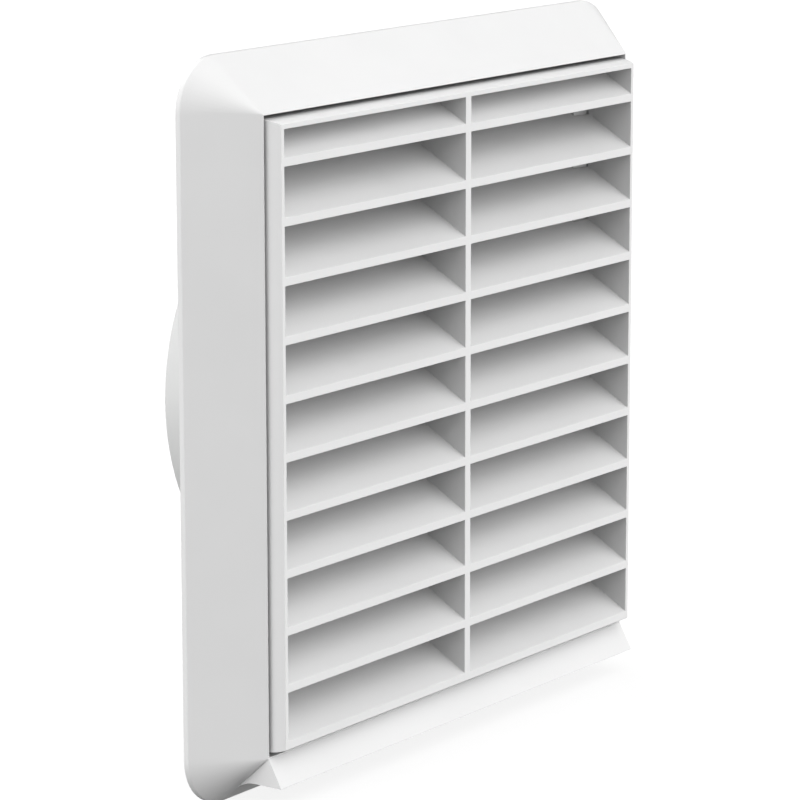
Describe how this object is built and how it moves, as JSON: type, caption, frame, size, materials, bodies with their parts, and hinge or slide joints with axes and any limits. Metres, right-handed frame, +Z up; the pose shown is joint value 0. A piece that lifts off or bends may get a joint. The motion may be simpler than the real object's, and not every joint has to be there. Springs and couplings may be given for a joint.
{
  "type": "bathroom extractor fan",
  "caption": "Square white louvre-fronted bathroom extractor fan with a drip sill, a round duct spigot, an axial impeller on a flat motor and a butterfly backdraught shutter.",
  "frame": {"origin": "where the duct axis meets the wall plane, at the centre of the wall plate's back face", "axes": "+X to the right seen from the room, +Y into the wall along the duct, +Z up"},
  "size_m": [0.162, 0.0473, 0.162],
  "materials": {
    "panel_white": "satin moulded white",
    "housing_white": "fine satin moulded white",
    "nylon": "natural nylon",
    "black_rubber": "soft matt",
    "foam": "closed-cell foam",
    "steel": "zinc plated",
    "spring_steel": "bright spring wire and strip",
    "lamination": "stacked silicon steel",
    "magnet": "bonded ferrite",
    "brass": "turned",
    "bronze": "sintered, oiled",
    "copper": "enamelled winding wire",
    "board": "solder-masked glass laminate",
    "component_black": "moulded components",
    "terminal_blue": "moulded"
  },
  "bodies": {
    "housing": {"wall_plate": "housing_white", "front_frame": "panel_white", "panel_clips": "spring_steel", "frame_screws": "steel", "wall_seal": "foam", "cable_grommet": "black_rubber", "gland_nut": "housing_white", "motor_carrier": "housing_white", "carrier_mounts": "black_rubber", "carrier_screws": "steel", "pod_cover": "housing_white", "pod_screws": "steel", "drive_board": "board", "board_components": "component_black", "terminal_block": "terminal_blue", "terminal_screws": "steel", "motor_leads": "copper", "bearing_tube": "brass", "front_bush": "bronze", "rear_bush": "bronze", "stator_core": "lamination", "stator_insulators": "nylon", "stator_coils": "copper", "shutter_ring": "housing_white", "shutter_pin": "steel"},
    "panel": {"louvre_panel": "panel_white", "inlet_guard": "housing_white"},
    "rotor": {"impeller": "housing_white", "rotor_cup": "steel", "rotor_magnet": "magnet", "rotor_shaft": "steel", "rotor_spacer": "brass", "thrust_washer": "nylon", "shaft_clip": "spring_steel"},
    "left_shutter": {"left_flap": "housing_white", "left_spring": "spring_steel"},
    "right_shutter": {"right_flap": "housing_white", "right_spring": "spring_steel"}
  },
  "joints": [
    {"name": "impeller_spin", "type": "hinge", "parent": "housing", "child": "rotor", "pos_m": [0, 0, 0], "axis": [0, 1, 0], "continuous": true},
    {"name": "left_flap_hinge", "type": "hinge", "parent": "housing", "child": "left_shutter", "pos_m": [0, 0.0263, 0], "axis": [0, 0, -1], "range_deg": [0, 78]},
    {"name": "right_flap_hinge", "type": "hinge", "parent": "housing", "child": "right_shutter", "pos_m": [0, 0.0263, 0], "axis": [0, 0, 1], "range_deg": [0, 78]},
    {"name": "panel_pull_off", "type": "slide", "parent": "housing", "child": "panel", "axis": [0, -1, 0], "range_m": [0, 0.04]}
  ]
}
